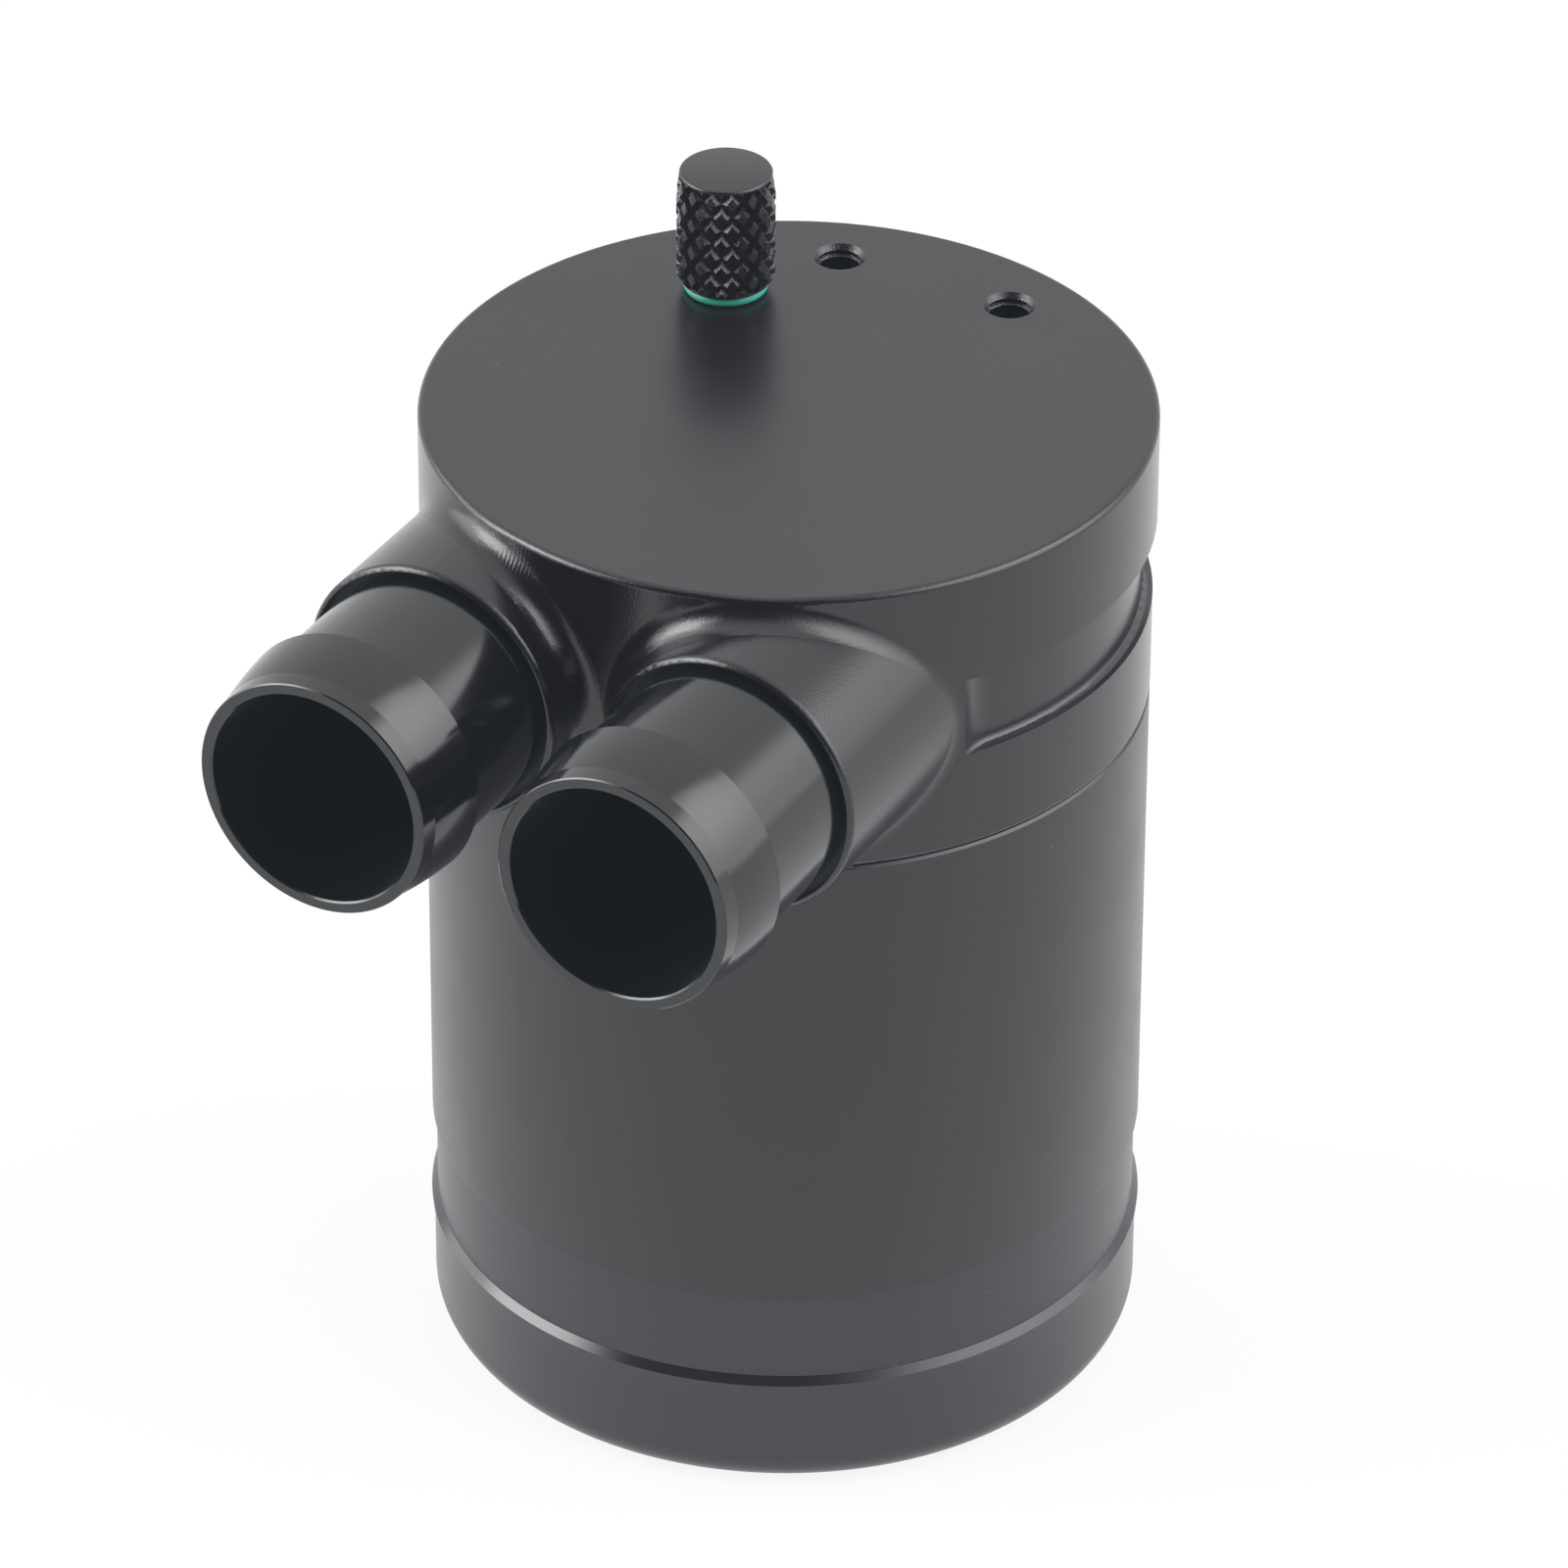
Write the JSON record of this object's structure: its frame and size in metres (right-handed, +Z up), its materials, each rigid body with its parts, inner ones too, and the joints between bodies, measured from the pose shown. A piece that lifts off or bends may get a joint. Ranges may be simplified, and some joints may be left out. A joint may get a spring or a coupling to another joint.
{
  "type": "oil catch can",
  "caption": "Round two-port oil catch can with parallel barbed hose fittings, a knurled dipstick, a screw-off base and bracket holes in its top.",
  "frame": {"origin": "centre of the base's underside, on the can's axis", "axes": "+Z up along the can's axis, -Y along the two hose fittings, X across them with the dipstick on the -X side"},
  "size_m": [0.088, 0.1201, 0.1437],
  "materials": {
    "satin_black_anodised": "satin black anodised",
    "polished_black_anodised": "polished black anodised",
    "gloss_black_knurl": "gloss black anodised",
    "bare_aluminium": "machined",
    "stainless_steel": "brushed",
    "knitted_wire": "knitted wire",
    "black_rubber": "matte",
    "green_rubber": "satin"
  },
  "bodies": {
    "can": {"head": "satin_black_anodised", "can_tube": "satin_black_anodised", "inlet_fitting": "polished_black_anodised", "outlet_fitting": "polished_black_anodised", "inlet_seal": "black_rubber", "outlet_seal": "black_rubber", "head_seal": "black_rubber", "inlet_downpipe": "bare_aluminium", "upper_baffle": "bare_aluminium", "lower_baffle": "bare_aluminium", "filter_mesh": "knitted_wire", "baffle_stud": "stainless_steel", "baffle_spacer": "stainless_steel", "baffle_washer": "stainless_steel", "baffle_nut": "stainless_steel"},
    "dipstick_ring": {"dipstick_seal": "green_rubber"},
    "dipstick": {"dipstick_knob": "gloss_black_knurl", "dipstick_rod": "stainless_steel"},
    "base_ring": {"base_seal": "black_rubber"},
    "base": {"base_cap": "satin_black_anodised"}
  },
  "joints": [
    {"name": "dipstick_lift", "type": "slide", "parent": "can", "child": "dipstick_ring", "axis": [0, 0, 1], "range_m": [0, 0.12]},
    {"name": "dipstick_turn", "type": "hinge", "parent": "dipstick_ring", "child": "dipstick", "pos_m": [-0.02, 0.02, 0.1274], "axis": [0, 0, 1], "range_deg": [0, 2160]},
    {"name": "base_drop", "type": "slide", "parent": "can", "child": "base_ring", "axis": [0, 0, -1], "range_m": [0, 0.0106]},
    {"name": "base_turn", "type": "hinge", "parent": "base_ring", "child": "base", "pos_m": [0, 0, 0], "axis": [0, 0, -1], "range_deg": [0, 2520]}
  ],
  "couplings": [
    {"joint": "base_drop", "follows": "base_turn", "m_per_rad": 0.00023873}
  ]
}
